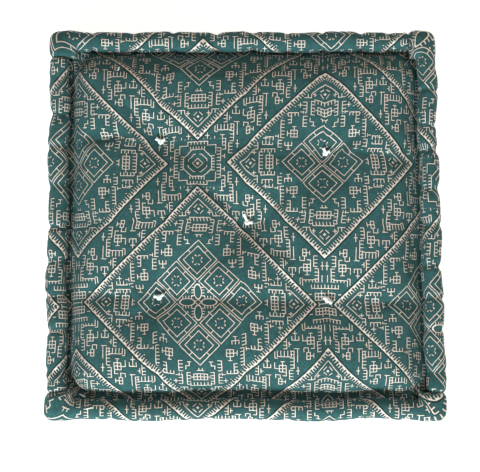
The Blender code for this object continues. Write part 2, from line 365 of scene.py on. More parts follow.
def print_tree():
    """A node group that turns cloth coordinates, in metres, into the distance from the nearest stroke.

    Its second output is the distance from the thin dark line that runs outside each border. Both are in
    units of the print.
    """
    tree = bpy.data.node_groups.new("print distance", "ShaderNodeTree")
    tree.interface.new_socket("Cloth", in_out="INPUT", socket_type="NodeSocketVector")
    tree.interface.new_socket("Distance", in_out="OUTPUT", socket_type="NodeSocketFloat")
    tree.interface.new_socket("Outline", in_out="OUTPUT", socket_type="NodeSocketFloat")
    split = new_node(tree, "SeparateXYZ", {0: tree.nodes.new("NodeGroupInput").outputs[0]})
    x = (Num(tree, split.outputs[0]) * (1 / UNIT)).fold(FOLD_X)
    y = (Num(tree, split.outputs[1]) * (1 / UNIT)).fold(FOLD_Y)
    s = x + y
    in_b = s.above((FOLD_X + FOLD_Y + A_EDGE - B_EDGE) / 2)
    diamond_x = in_b.pick(x, x.rsub(FOLD_X))  # from the middle of whichever diamond is nearer
    diamond_y = in_b.pick(y, y.rsub(FOLD_Y))
    inside = diamond_x + diamond_y
    slope = diamond_x - diamond_y
    edge = in_b.pick(A_EDGE, B_EDGE)
    edge_gap = edge - inside
    in_diamond = edge_gap.above(0.0)
    edges = border(edge_gap, slope)
    outline = abs(edge_gap + 1.0) * TIP

    # the nested diamonds
    shift = in_b.pick(0.0, CELL / 2)
    across = (inside + shift).cycle(CELL) - CELL / 2
    along = (slope + shift).cycle(CELL) - CELL / 2
    nest = nested_diamond(across, along)
    bloom = flower(diamond_x, diamond_y)
    at_bloom = in_b.least(inside.below(CELL / 2)).least(abs(slope).below(CELL / 2))
    nest = at_bloom.pick(nest, bloom)
    nest_end = in_b.pick(CELL, CELL * 1.5)

    # the ring round them, with its own figures in the diamond's corners
    column = (diamond_x * (1 / RING_STEP)).floor() * RING_STEP
    ring = ring_motif(diamond_x - column, diamond_y + column - nest_end)
    reach = diamond_x.most(diamond_y)
    wide = diamond_x.least(diamond_y)
    corner = point_motif(wide, edge - reach)
    at_corner = (wide + nest_end - 6.0).below(reach).least((edge - reach).above(0.0))
    ring = at_corner.pick(ring, corner)
    in_ring = inside.above(nest_end)
    clear = (nest_end + 1.6 - inside).most(inside - edge + 4.4).above(0.0)
    filling = in_ring.pick(nest, ring + clear)

    # the band between A and B
    column = (x * (1 / BAND_STEP)).floor() * BAND_STEP
    band = band_motif(x - column, y + column - A_EDGE)
    side_x = x.rsub(FOLD_X)
    end_y = y.rsub(FOLD_Y)
    at_side = (side_x.most(y)).below(12.8)
    at_end = (x.most(end_y)).below(11.4)
    band = at_side.pick(band, medallion(side_x, y))
    band = at_end.pick(band, crossing(x, end_y))
    clear = edge_gap.above(-1.7)
    everything = in_diamond.pick(band + clear, filling).least(edges)
    result = tree.nodes.new("NodeGroupOutput")
    feed(result.inputs[0], everything)
    feed(result.inputs[1], outline)
    return tree


PRINT = print_tree()
THREADS = 0.00055  # from one thread of the weave to the next, in metres
WANDER = 0.0011  # how far strokes wander, in metres
HALO = 0.60  # how far the dark edge of a stroke reaches, in units of the print
GRAIN_ACROSS, GRAIN_ALONG = 800.0, 210.0  # fine streaks slant across the cloth, about this many to a metre


def cloth_material(name, offset):
    """Teal cotton with a worn copper foil print. offset slides the print, in metres of cloth."""
    mat, tree, shader = new_material(name)
    cloth = new_node(tree, "UVMap", {}, uv_map="cloth")
    slide = vector_node(tree, "ADD", cloth.outputs[0], (*offset, 0.0))

    def noise(scale, detail, roughness=0.5, source=slide):
        inputs = {"Vector": source, "Scale": scale, "Detail": detail, "Roughness": roughness}
        return new_node(tree, "TexNoise", inputs).outputs

    # strokes wander a little, as they do when a screen meets soft cloth
    shaken = vector_node(tree, "SUBTRACT", noise(260.0, 1.0)["Color"], (0.5, 0.5, 0.5))
    scaled = new_node(tree, "VectorMath", {0: shaken, "Scale": WANDER}, operation="SCALE")
    wandered = vector_node(tree, "ADD", slide, scaled.outputs[0])
    group = new_node(tree, "Group", {}, node_tree=PRINT)
    feed(group.inputs[0], wandered)
    distance, outline = Num(tree, group.outputs[0]), Num(tree, group.outputs[1])

    speckle = Num(tree, noise(900.0, 2.0)["Fac"])
    half = STROKE / 2
    foil = distance.step(half + 0.08, half - 0.08)
    worn = (speckle * -1.0 + 0.98).step(0.30, 0.42)
    foil = foil * (worn * 0.35 + 0.65)
    halo = (distance.step(half + HALO, half + 0.05) * 0.6).most(outline.step(0.38, 0.16))

    # the weave, with threads both ways
    split = new_node(tree, "SeparateXYZ", {0: slide})
    thread_x, thread_y = Num(tree, split.outputs[0]), Num(tree, split.outputs[1])
    weft = (thread_x * (2 * math.pi / THREADS)).node("SINE")
    warp = (thread_y * (2 * math.pi / THREADS)).node("SINE")
    weave = weft * warp
    slub = Num(tree, noise(120.0, 3.0)["Fac"])

    across = (thread_x * 0.42 + thread_y * 0.91) * GRAIN_ACROSS
    along = (thread_x * 0.91 - thread_y * 0.42) * GRAIN_ALONG
    streak = new_node(tree, "CombineXYZ", {"X": across, "Y": along})
    grain = Num(tree, noise(1.0, 2.0, 0.6, streak.outputs[0])["Fac"])
    mottle = slub * 0.8 + grain * 1.7 + weave * 0.10 - 0.80
    ground = mix_colors(tree, mottle.clamp(), (0.018, 0.050, 0.048), (0.038, 0.144, 0.152))
    shaded = mix_colors(tree, halo, ground, (0.006, 0.016, 0.016))
    metal = mix_colors(tree, speckle.step(0.35, 0.65), (0.73, 0.54, 0.42), (0.84, 0.82, 0.79))
    feed(shader["Base Color"], mix_colors(tree, foil, shaded, metal))
    feed(shader["Metallic"], foil * 0.5)
    feed(shader["Roughness"], foil * -0.38 + 0.82 + slub * 0.06)
    shader["Specular IOR Level"].default_value = 0.25
    shader["Sheen Weight"].default_value = 0.08
    shader["Sheen Roughness"].default_value = 0.45
    shader["Sheen Tint"].default_value = (0.62, 0.85, 0.85, 1)
    feed(shader["Normal"], bump(tree, weave * 0.35 + slub * 0.9, 0.5, 0.0004))
    return mat


def fibre_material(name, dark, light, scale, distance):
    """Undyed cotton, from one colour to another. scale is of the fibres' pattern, distance of its bumps."""
    mat, tree, shader = new_material(name)
    inputs = {"Vector": new_node(tree, "TexCoord", {}).outputs["Object"], "Scale": scale, "Detail": 5.0}
    fibre = Num(tree, new_node(tree, "TexNoise", inputs).outputs["Fac"])
    feed(shader["Base Color"], mix_colors(tree, fibre, dark, light))
    feed(shader["Roughness"], fibre * 0.2 + 0.75)
    shader["Sheen Weight"].default_value = 0.4
    feed(shader["Normal"], bump(tree, fibre, 0.6, distance))
    return mat


# ---------------------------------------------------------------- mesh helpers


def set_uvs(mesh, uvs):
    """Gives a mesh one cloth coordinate for each of its points."""
    corner = np.empty(len(mesh.loops), np.int32)
    mesh.loops.foreach_get("vertex_index", corner)
    mesh.uv_layers["cloth"].data.foreach_set("uv", np.asarray(uvs, np.float32)[corner].ravel())


def mesh_object(name, verts, faces, uvs=None):
    mesh = bpy.data.meshes.new(name)
    mesh.from_pydata([tuple(v) for v in verts], [], [tuple(int(i) for i in f) for f in faces])
    if uvs is not None:
        mesh.uv_layers.new(name="cloth")
        set_uvs(mesh, uvs)
    mesh.shade_smooth()
    obj = bpy.data.objects.new(name, mesh)
    bpy.context.scene.collection.objects.link(obj)
    return obj


def coords(obj):
    co = np.empty(len(obj.data.vertices) * 3)
    obj.data.vertices.foreach_get("co", co)
    return co.reshape(-1, 3)


def set_coords(obj, co):
    obj.data.vertices.foreach_set("co", np.asarray(co, np.float32).ravel())
    obj.data.update()


def apply_modifiers(obj):
    bpy.context.view_layer.update()
    done = bpy.data.meshes.new_from_object(obj.evaluated_get(bpy.context.evaluated_depsgraph_get()))
    old = obj.data
    obj.modifiers.clear()
    obj.data = done
    bpy.data.meshes.remove(old)
    obj.data.shade_smooth()


def subdivide(obj):
    smooth = obj.modifiers.new("Smooth", "SUBSURF")
    smooth.levels = smooth.render_levels = 1
    apply_modifiers(obj)


CLOTH_THICKNESS = 0.0012
PUFF_FRAMES = 20
CLOTH_GROWS = 0.014  # the cloth is cut larger than its place by this share, so it puckers round its pins
STIFFNESS = 15.0


def thicken(obj):
    solid = obj.modifiers.new("Cloth", "SOLIDIFY")
    solid.thickness, solid.offset = CLOTH_THICKNESS, -1
    apply_modifiers(obj)


def inflate(obj, pins, pressure, cap):
    """Blows cloth up by simulation from points that stay put, moving no point as far as cap."""
    start = coords(obj)
    group = obj.vertex_groups.new(name="pins")
    group.add([int(i) for i in pins], 1.0, "REPLACE")
    cloth = obj.modifiers.new("Puff", "CLOTH")
    cloth.point_cache.frame_start, cloth.point_cache.frame_end = 1, PUFF_FRAMES
    settings = cloth.settings
    settings.quality = 6
    settings.mass = 0.25
    settings.tension_stiffness = settings.compression_stiffness = STIFFNESS
    settings.shear_stiffness = STIFFNESS / 3
    settings.bending_stiffness = 0.5
    settings.use_pressure = True
    settings.uniform_pressure_force = pressure
    settings.effector_weights.gravity = 0
    settings.vertex_group_mass = "pins"
    settings.shrink_min = -CLOTH_GROWS
    cloth.collision_settings.use_collision = False
    cloth.collision_settings.use_self_collision = False
    for number in range(1, PUFF_FRAMES + 1):
        bpy.context.scene.frame_set(number)
    apply_modifiers(obj)
    obj.vertex_groups.clear()
    moved = coords(obj) - start
    reach = np.linalg.norm(moved, axis=1, keepdims=True)
    eased = cap * np.tanh(reach / cap)
    set_coords(obj, start + moved * eased / np.maximum(reach, 1e-9))


def grid_faces(rows, columns, closed=False):
    """The faces of a grid of points, row by row, joined round at the ends of the rows if closed."""
    faces = []
    for here in range(0, (rows - 1) * columns, columns):
        up = here + columns
        for c in range(columns if closed else columns - 1):
            d = (c + 1) % columns
            faces.append((here + c, here + d, up + d, up + c))
    return faces


def cast(obj, x, y, down=True):
    """The height at which a ray through (x, y), down or else up, meets a piece, or None."""
    way = -1.0 if down else 1.0
    hit, where, _, _ = obj.ray_cast(Vector((x, y, -way)), Vector((0, 0, way)))
    return where.z if hit else None


def bell(value):
    """1 where value is 0, fading to nothing beyond 2 or so."""
    return np.exp(-(value**2))


def turned(angle, heading):
    """The angle from a heading, between -pi and pi."""
    return np.angle(np.exp(1j * (angle - heading)))


def smooth_step(share):
    share = np.clip(share, 0, 1)
    return share * share * (3 - 2 * share)


# ---------------------------------------------------------------- the panels

PANEL_CORNER = 0.044
SHOULDER = 0.040  # how far in from its edge a panel still curves
GROOVE_WIDENING = 0.005
SHALLOW = 0.005  # how much higher the panel's right edge is
GROOVE_DROP = 0.012  # of the panel's edge, below the rolls' centreline
TUFT_REACH = 0.026  # how fast a hollow fades away from its knot
TUFT_SPREAD = 0.060  # how far round a knot the grid is eased over to meet it
VALLEYS = (("front_left", "front_right", 0.0066), ("back_left", "back_right", 0.0040))  # and their depths
MIDDLE_VALLEY = 0.0016
VALLEY_WIDTH = 0.018
FOLDS = 7  # gathers round each knot
LUMPS = 14
# below the CAD panel's crown: the height of the panel inside its shoulders, and the depth from which the
# hollows are measured
PLAIN_DROP = 0.009
HOLLOW_FROM = 0.002
CROWN = 0.003  # how much higher the panel's middle is
BOTTOM_GAP = 0.001  # between the underside and the floor, before it is flattened
REST_Z = 0.0002  # of the underside where it lies flat
PANEL_GRID = 108
FLANGE_STEPS = 2  # grid steps of cloth past the groove, on their way to the rolls' seam
FLANGE_DROP = 0.002
FLANGE_SQUARE = 1.9  # its corners are squarer than the panel's, so that it passes under the rolls
CLOTH_EASE = 1.02  # flat cloth for each length of finished panel
PRINT_SHIFT = (-0.1235, -0.0925)


def rounded(u, v, half_x, half_y, radius):
    """Lays the square grid points u, v, from -1 to 1, out inside a rounded rectangle."""
    reach = np.maximum(np.maximum(abs(u), abs(v)), 1e-9)
    over_x = np.maximum(abs(u / reach) * half_x - (half_x - radius), 0)
    over_y = np.maximum(abs(v / reach) * half_y - (half_y - radius), 0)
    distance = np.maximum(np.hypot(over_x, over_y), 1e-9)
    corner = (over_x > 0) & (over_y > 0)
    pull = np.where(corner, (1 - radius / distance) * reach**3, 0)
    return u * half_x - np.sign(u) * over_x * pull, v * half_y - np.sign(v) * over_y * pull


def inside_distance(x, y, half_x, half_y, radius):
    """How far a place is inside the outline of a rounded rectangle."""
    over_x, over_y = abs(x) - (half_x - radius), abs(y) - (half_y - radius)
    outside = np.hypot(np.maximum(over_x, 0), np.maximum(over_y, 0))
    return radius - outside - np.minimum(np.maximum(over_x, over_y), 0)


def panel(layer):
    """One face of the cushion: cloth puffed out by the wadding, drawn down at the edges and the tufts."""
    top = layer == "top"
    count = PANEL_GRID + 1 + 2 * FLANGE_STEPS
    past = 1 + 2 * FLANGE_STEPS / PANEL_GRID
    line = np.linspace(-past, past, count)
    u, v = (a.ravel() for a in np.meshgrid(line, line))
    ring = np.maximum(abs(u), abs(v))
    spare = np.maximum(ring - 1, 0)
    held = np.maximum(ring, 1)
    flange = spare * PANEL_X
    corner = PANEL_CORNER - FLANGE_SQUARE * flange
    x, y = rounded(u / held, v / held, PANEL_X + flange, PANEL_Y + flange, corner)
    tufts = [tuft_point(place, layer) for place in PLACES]
    pins = list(np.nonzero(ring > 1 - 1e-6)[0])
    for tuft in tufts:
        # ease the grid over so that one of its points meets the tuft
        nearest = np.argmin(np.hypot(x - tuft.x, y - tuft.y))
        off_x, off_y = tuft.x - x[nearest], tuft.y - y[nearest]
        share = np.maximum(1 - np.hypot(x - x[nearest], y - y[nearest]) / TUFT_SPREAD, 0)
        x, y = x + off_x * share, y + off_y * share
        pins.append(nearest)
    # the grooves along the left and the front are wide, and the one along the right is shallow
    to_left, to_front, to_right = (np.clip(a, 0, 1) ** 8 for a in (-x / PANEL_X, -y / PANEL_Y, x / PANEL_X))
    late = GROOVE_WIDENING * np.maximum(to_left, to_front)
    inside = np.clip((inside_distance(x, y, PANEL_X, PANEL_Y, PANEL_CORNER) - late) / SHOULDER, 0, 1)
    shoulder = (1 - (1 - inside) ** 2) ** 0.7
    reach = np.array([np.hypot(x - t.x, y - t.y) for t in tufts])
    hollow = np.exp(-reach / TUFT_REACH).max(axis=0)
    rng = random.Random(f"panel {layer}")
    folds = np.zeros(len(x))
    for distance, tuft in zip(reach, tufts):
        # gathers that run out from the knot
        turn = np.arctan2(y - tuft.y, x - tuft.x)
        for _ in range(FOLDS):
            heading, depth = rng.uniform(-math.pi, math.pi), rng.uniform(0.0006, 0.0018)
            length = rng.uniform(0.010, 0.034)
            off = turned(turn, heading) * np.maximum(distance, 0.004)
            ahead = np.cos(turn - heading) > 0
            folds -= ahead * depth * bell(off / (0.0018 + 0.12 * distance)) * bell(distance / length)
    swell = np.zeros(len(x))
    for _ in range(LUMPS):
        at_x, at_y = rng.uniform(-PANEL_X, PANEL_X), rng.uniform(-PANEL_Y, PANEL_Y)
        height = rng.uniform(-0.0014, 0.0018)
        swell += height * bell(np.hypot(x - at_x, y - at_y) / rng.uniform(0.03, 0.07))
    # valleys run from knot to knot, and on to the panel's sides
    valley = np.zeros(len(x))
    for left, right, depth in VALLEYS:
        a, b = tufts[PLACES.index(left)], tufts[PLACES.index(right)]
        line_y = a.y + (b.y - a.y) * (x - a.x) / (b.x - a.x)
        valley += depth * bell((y - line_y) / VALLEY_WIDTH)
    valley += MIDDLE_VALLEY * bell((y - tufts[PLACES.index("middle")].y) / VALLEY_WIDTH)
    folds -= valley * (1 - hollow) * np.clip(inside * 1.5, 0, 1)
    tuft_z = np.mean([t.z for t in tufts])
    if top:
        crown = (1 - (x / PANEL_X) ** 2) * (1 - (y / PANEL_Y) ** 2)
        edge_z = ROLL_Z - GROOVE_DROP
        depth = CROWN_Z - HOLLOW_FROM - tuft_z
        z = edge_z + (CROWN_Z - PLAIN_DROP - edge_z) * shoulder + CROWN * crown - depth * hollow
        z += swell * inside + folds + SHALLOW * to_right * (1 - inside) - FLANGE_DROP * spare / (past - 1)
    else:
        z = ROLL_R * (1 - shoulder) + BOTTOM_GAP * inside + tuft_z * hollow - 0.5 * folds
        z += FLANGE_DROP * spare / (past - 1)
    order = grid_faces(count, count)
    if not top:
        order = [face[::-1] for face in order]
    obj = mesh_object(f"{layer}_cover", np.column_stack([x, y, z]), order, np.column_stack([x, y]))
    inflate(obj, pins, pressure=3.0 if top else 2.0, cap=0.009 if top else 0.004)
    if not top:
        co = coords(obj)
        co[:, 2] = np.maximum(co[:, 2], REST_Z)  # it is flat where it lies on the floor
        set_coords(obj, co)
    lay_cloth(obj, count, rng)
    subdivide(obj)
    return obj


def lay_cloth(obj, count, rng):
    """Gives a panel its cloth coordinates: the lengths over the puffed surface from its middle lines."""
    co = coords(obj).reshape(count, count, 3)
    half = count // 2
    flat = []
    for axis in (1, 0):
        step = np.linalg.norm(np.diff(co, axis=axis), axis=2)
        start = np.zeros_like(np.take(step, [0], axis=axis))
        length = np.concatenate([start, np.cumsum(step, axis=axis)], axis=axis)
        flat.append((length - np.take(length, [half], axis=axis)) * CLOTH_EASE)
    u, v = flat
    # the cloth was pulled a little out of true as it was sewn
    for _ in range(4):
        wave_u, wave_v = rng.uniform(-14, 14), rng.uniform(-14, 14)
        phase = rng.uniform(0, 2 * math.pi)
        drift = np.sin(u * wave_u + v * wave_v + phase)
        u, v = u + rng.uniform(-0.0022, 0.0022) * drift, v + rng.uniform(-0.0022, 0.0022) * drift
    set_uvs(obj.data, np.stack([u, v], axis=2).reshape(-1, 2))


LEAN = 0.011  # how far the right side leans in towards the back
LEAN_FROM = 0.13  # the lean begins this far to the right
WAVE = 0.0012  # of the sides, in and out


def hand_made_plan(x, y):
    """The cushion's outline isn't quite square, and waves in and out: where a place in plan moves to."""
    share = np.clip((x - LEAN_FROM) / (LINE_X - LEAN_FROM), 0, 1) ** 1.5
    lean = LEAN * share * np.clip((y + LINE_Y) / (2 * LINE_Y), 0, 1)
    at_side, at_end = (np.clip(a, 0, 1) ** 4 for a in (abs(x) / LINE_X, abs(y) / LINE_Y))
    wave_x = np.sin(31 * y + 1.0) + 0.8 * np.sin(57 * y + np.sign(x) * 2.0)
    wave_y = np.sin(27 * x + 2.4) + 0.8 * np.sin(49 * x + np.sign(y) * 1.0)
    return x - lean + WAVE * at_side * wave_x, y + WAVE * at_end * wave_y


def finish_piece(obj, nodes, mat):
    co = coords(obj)
    co[:, 0], co[:, 1] = hand_made_plan(co[:, 0].copy(), co[:, 1].copy())
    set_coords(obj, co)
    obj.data.materials.clear()
    obj.data.materials.append(mat)
    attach(obj, "root")
    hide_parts(*nodes)


CLOTH = {
    "top": cloth_material("printed cotton, top", PRINT_SHIFT),
    "bottom": cloth_material("printed cotton, underside", (0.03, 0.05)),
    "back": cloth_material("printed cotton, back roll", (0.065, -0.150)),
    "right": cloth_material("printed cotton, right roll", (-0.130, -0.060)),
    "front": cloth_material("printed cotton, front roll", (-0.1235, -0.070)),
    "left": cloth_material("printed cotton, left roll", (-0.110, -0.0925)),
    "boxing": cloth_material("printed cotton, boxing", (0.02, 0.19)),
}
UNDYED = fibre_material("undyed cotton cord", (0.80, 0.79, 0.77), (0.96, 0.96, 0.95), 900.0, 0.0003)
WADDING = fibre_material("cotton wadding", (0.62, 0.58, 0.50), (0.88, 0.85, 0.78), 140.0, 0.002)

# ---------------------------------------------------------------- the edge rolls

CORNER_R = 0.028  # of the rolls' centreline
ALONG_STEP = 0.0028
AROUND = 40
NECK = math.radians(-135)  # where the roll is sewn to the body, seen in section
# where one roll gives way to the next round each corner, in degrees from the side's own square end
HAND_OVER = {"right": (5, 88), "back": (2, 85), "left": (5, 5), "front": (85, 85)}
EAR_R = 0.015  # of the outline's corners, which stand out further than the rolls' centreline turns
EAR = 0.0015  # how far the corners stand out past the sides


def corner_share(angle):
    """How much wider the outer half of a roll is at an angle round a corner, to fill the corner out."""
    box = CORNER_R + ROLL_R + EAR
    inner = box - EAR_R
    turn = np.clip(abs(angle), 0, math.pi / 2)
    along_it = inner * (np.cos(turn) + np.sin(turn))
    across_it = inner * (np.cos(turn) - np.sin(turn))
    arc = along_it + np.sqrt(np.maximum(EAR_R**2 - across_it**2, 0))
    face = box / np.maximum(np.cos(turn), np.sin(turn))
    on_arc = abs(turn - math.pi / 4) < math.pi / 4 - math.atan2(inner, box)
    share = (np.where(on_arc, arc, face) - CORNER_R) / ROLL_R
    return 1 + (share - 1) * smooth_step(abs(angle) / 0.25)


def side_frame(side):
    """The outward direction of a side, the direction along it, and the half sizes out and along."""
    turn = SIDES.index(side) * math.pi / 2
    out = np.array([round(math.cos(turn)), round(math.sin(turn))])
    along = np.array([-out[1], out[0]])
    return (out, along, LINE_X, LINE_Y) if side in ("right", "left") else (out, along, LINE_Y, LINE_X)


def side_path(side, start_angle, end_angle, inset=0.0):
    """Points along one side of the rounded square, from an angle in one corner to an angle in the next.

    Returns the points, the outward direction at each, the length along the centreline, and the angle
    round the corner that each has reached.
    """
    out, along, half_out, half_along = side_frame(side)
    radius = CORNER_R
    straight = 2 * (half_along - radius)
    arc_a, arc_b = radius * start_angle, radius * end_angle
    total = arc_a + straight + arc_b
    steps = max(int(total / ALONG_STEP), 8)
    length = np.linspace(-arc_a, straight + arc_b, steps + 1)
    angle = (np.minimum(length, 0) + np.maximum(length - straight, 0)) / radius
    centre = np.clip(length, 0, straight) - straight / 2
    local_out = half_out - radius + (radius - inset) * np.cos(angle)
    local_along = centre + (radius - inset) * np.sin(angle)
    points = local_out[:, None] * out + local_along[:, None] * along
    normals = np.cos(angle)[:, None] * out + np.sin(angle)[:, None] * along
    return points, normals, length - straight / 2, angle


STITCH_STEP = 0.054  # along an edge, between the stitches that hold the roll
END_ROUNDING = 0.007  # how far from its end a roll starts to close
CORNER_FILL = 0.80  # how much wider the inner half of a roll is, half way round a corner
CREASE_STEP = 0.010
# the lowest and highest of a crease's slant, depth and width, and of the middle and the half of its reach
# round the roll
CREASE = ((-0.35, 0.35), (0.0002, 0.0010), (0.0016, 0.0045), (-1.2, 1.9), (0.5, 1.3))
CALM = 0.12  # the share of the dents that is left round the corners
DRAWN_IN = 0.0016  # how far a roll is drawn in just short of a corner
SHORT_OF = 0.011  # and how far short of it


def edge_roll(layer, side):
    """Cloth and wadding pinched into a roll, sewn through at its neck."""
    rng = random.Random(f"{layer} {side}")
    start, end = (math.radians(a) for a in HAND_OVER[side])
    points, normals, length, angle = side_path(side, start, end)
    rows = len(points)
    theta = NECK - np.linspace(0, 2 * math.pi, AROUND, endpoint=False)  # up the inner side, over, and down
    radius = np.full((rows, AROUND), ROLL_R * 0.985)
    along = length[:, None]
    around = np.repeat(theta[None, :], rows, axis=0)
    out, tangent, half_out, half_along = side_frame(side)

    # the corners are smooth
    sides_end = half_along - CORNER_R
    calm = CALM + (1 - CALM) * smooth_step((sides_end + 0.001 - abs(length)) / 0.010)[:, None]

    # stitches draw it in, and it swells between them
    place = length[0] + STITCH_STEP * 0.6
    while place < length[-1] - 0.01:
        depth = rng.uniform(0.0018, 0.0038)
        wide = rng.uniform(0.004, 0.008)
        slant = rng.uniform(-0.004, 0.004)
        radius -= depth * bell((along - place - slant * np.sin(around)) / wide) * calm
        place += STITCH_STEP * rng.uniform(0.75, 1.2)
    # creases pinch it here and there
    made = [
        (rng.uniform(length[0], length[-1]), *(rng.uniform(*limits) for limits in CREASE))
        for _ in range(int((length[-1] - length[0]) / CREASE_STEP))
    ]
    for where, slant, depth, wide, middle, reach in made:
        gap = (along - where - slant * ROLL_R * np.sin(around - middle)) / wide
        radius -= depth * bell(gap) * bell(turned(around, middle) / reach) * calm
    # slow hand-made unevenness
    for _ in range(5):
        wave = rng.uniform(18, 60) * math.pi / 3
        radius += rng.uniform(0.0002, 0.0006) * np.sin(along * wave + rng.uniform(0, 6) + around)
    # and the sides are drawn in just short of the corners
    short_of = (sides_end - SHORT_OF - abs(length))[:, None] / SHORT_OF
    radius -= DRAWN_IN * bell(short_of) * np.maximum(np.cos(around), 0)

    # round off the ends
    from_end = np.minimum(length - length[0], length[-1] - length)[:, None]
    short = np.clip(1 - from_end / END_ROUNDING, 0, 1)
    radius *= np.sqrt(1 - 0.55 * short**2)

    across = radius * np.cos(around)
    corner_in = CORNER_FILL * ROLL_R * np.sin(np.clip(2 * abs(angle), 0, math.pi)) ** 1.3
    corner_out = ROLL_R * (corner_share(angle) - 1)
    across += np.where(np.cos(around) > 0, corner_out[:, None], corner_in[:, None]) * np.cos(around)
    xy = points[:, None, :] + across[..., None] * normals[:, None, :]
    z = ROLL_Z + radius * np.sin(around)
    if layer == "bottom":
        z = np.maximum(2 * MIDDLE_Z - z, 0.0)
    verts = np.concatenate([xy, z[..., None]], axis=2).reshape(-1, 3)

    # its cloth lies flat from beside the panel outwards
    flat_out = half_out - ROLL_R * 1.3 + ROLL_R * np.linspace(0, 2 * math.pi, AROUND, endpoint=False)
    flat_out, flat_along = np.broadcast_arrays(flat_out[None, :, None], along[..., None])
    uvs = (flat_out * out + flat_along * tangent).reshape(-1, 2)
    faces = grid_faces(rows, AROUND, closed=True)
    # caps
    for row, flip in ((0, True), (rows - 1, False)):
        centre = len(verts)
        ring = [row * AROUND + c for c in range(AROUND)]
        verts = np.vstack([verts, verts[ring].mean(axis=0)])
        uvs = np.vstack([uvs, uvs[ring].mean(axis=0)])
        for c in range(AROUND):
            a, b = ring[c], ring[(c + 1) % AROUND]
            faces.append((b, a, centre) if flip else (a, b, centre))
    if layer == "bottom":
        faces = [f[::-1] for f in faces]
    return mesh_object(f"{layer}_roll_{side}", verts, faces, uvs)


# ---------------------------------------------------------------- the side strips


BULGE = 0.0062  # of a side strip, outwards at mid height
STRIP_ROWS = 17


def boxing(side):
    """The upright strip between the lower and the upper roll."""
    rng = random.Random(f"boxing {side}")
    points, normals, length, angle = side_path(side, math.radians(45), math.radians(45))
    low_z, high_z = (corner.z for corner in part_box(f"side_panel_{side}"))
    share = np.linspace(0, 1, STRIP_ROWS)[:, None]
    bulge = BULGE * np.sin(math.pi * share) + 0.6 * ROLL_R * (corner_share(angle) - 1)[None, :]
    along = length[None, :]
    place = length[0] + STITCH_STEP * 0.4
    while place < length[-1]:
        for edge in (0.0, 1.0):
            gap = (along - place - rng.uniform(-0.01, 0.01)) / 0.006
            bulge -= rng.uniform(0.0010, 0.0022) * bell(gap) * bell((share - edge) / 0.45)
        place += STITCH_STEP * rng.uniform(0.75, 1.2)
    for _ in range(int((length[-1] - length[0]) / 0.02)):
        where, slant = rng.uniform(length[0], length[-1]), rng.uniform(-0.02, 0.02)
        gap = (along - where - slant * (share - 0.5)) / rng.uniform(0.002, 0.005)
        bulge -= rng.uniform(0.0003, 0.0010) * bell(gap)
    xy = points[None, :, :] + bulge[..., None] * normals[None, :, :]
    z = np.repeat(low_z + (high_z - low_z) * share, len(points), axis=1)
    verts = np.concatenate([xy, z[..., None]], axis=2).reshape(-1, 3)
    uvs = np.stack([along + 0 * z, z], axis=2).reshape(-1, 2)
    return mesh_object(f"boxing_{side}", verts, grid_faces(STRIP_ROWS, len(points)), uvs)


# ---------------------------------------------------------------- cords and knots


def sweep(points, radii, sides=8):
    """A closed tube along a smooth line of points, as points and faces."""
    points = np.asarray(points, float)
    radii = np.broadcast_to(np.asarray(radii, float), (len(points),))
    tangent = np.gradient(points, axis=0)
    tangent /= np.linalg.norm(tangent, axis=1, keepdims=True)
    normal = np.cross(tangent[0], (0.3, 0.5, 0.8))
    rings = []
    for i, point in enumerate(points):
        normal = normal - tangent[i] * np.dot(normal, tangent[i])
        normal /= np.linalg.norm(normal)
        side = np.cross(tangent[i], normal)
        turn = np.linspace(0, 2 * math.pi, sides, endpoint=False)
        rings.append(point + radii[i] * (np.cos(turn)[:, None] * normal + np.sin(turn)[:, None] * side))
    verts = np.vstack(rings)
    faces = [f[::-1] for f in grid_faces(len(points), sides, closed=True)]
    faces.append(tuple(range(sides)))
    faces.append(tuple(range((len(points) - 1) * sides, len(points) * sides))[::-1])
    return verts, faces


def smooth_line(points, count):
    """A smooth curve through a few points."""
    points = np.asarray(points, float)
    padded = np.vstack([2 * points[0] - points[1], points, 2 * points[-1] - points[-2]])
    made = []
    for t in np.linspace(0, len(points) - 1 - 1e-9, count):
        i, f = int(t), t - int(t)
        a, b, c, d = padded[i : i + 4]
        bend, twist = 2 * a - 5 * b + 4 * c - d, 3 * b - a - 3 * c + d
        made.append(0.5 * (2 * b + (c - a) * f + bend * f**2 + twist * f**3))
    return np.array(made)


def twisted(points, radius, strands, pitch, count, rng, fray):
    """Strands laid round each other along a line. fray spreads them apart towards the far end."""
    line = smooth_line(points, count)
    tangent = np.gradient(line, axis=0)
    tangent /= np.linalg.norm(tangent, axis=1, keepdims=True)
    length = np.concatenate([[0], np.cumsum(np.linalg.norm(np.diff(line, axis=0), axis=1))])
    first = np.cross(tangent, (0.2, 0.9, 0.4))
    first /= np.linalg.norm(first, axis=1, keepdims=True)
    second = np.cross(tangent, first)
    pieces = []
    for k in range(strands):
        turn = 2 * math.pi * (k / strands + length / pitch)
        spread = radius * 0.52 + fray * (length / length[-1]) ** 3 * rng.uniform(0.6, 1.4)
        offset = np.cos(turn)[:, None] * first + np.sin(turn)[:, None] * second
        thin = radius * 0.55 * (1 - 0.35 * (length / length[-1]) ** 4)
        pieces.append(sweep(line + offset * np.reshape(spread, (-1, 1)), thin, 7))
    return pieces


def joined(name, pieces):
    verts, faces, start = [], [], 0
    for points, polygons in pieces:
        verts.append(points)
        faces += [tuple(i + start for i in f) for f in polygons]
        start += len(points)
    return mesh_object(name, np.vstack(verts), faces)


# the directions that each knot's two cut ends lie in, in degrees, and their lengths in millimetres
TOP_ENDS = {
    "back_left": ((150, 8), (20, 7)),
    "back_right": ((110, 8), (20, 7)),
    "middle": ((112, 13), (-8, 8)),
    "front_left": ((170, 8), (30, 8)),
    "front_right": ((150, 7), (-40, 8)),
}


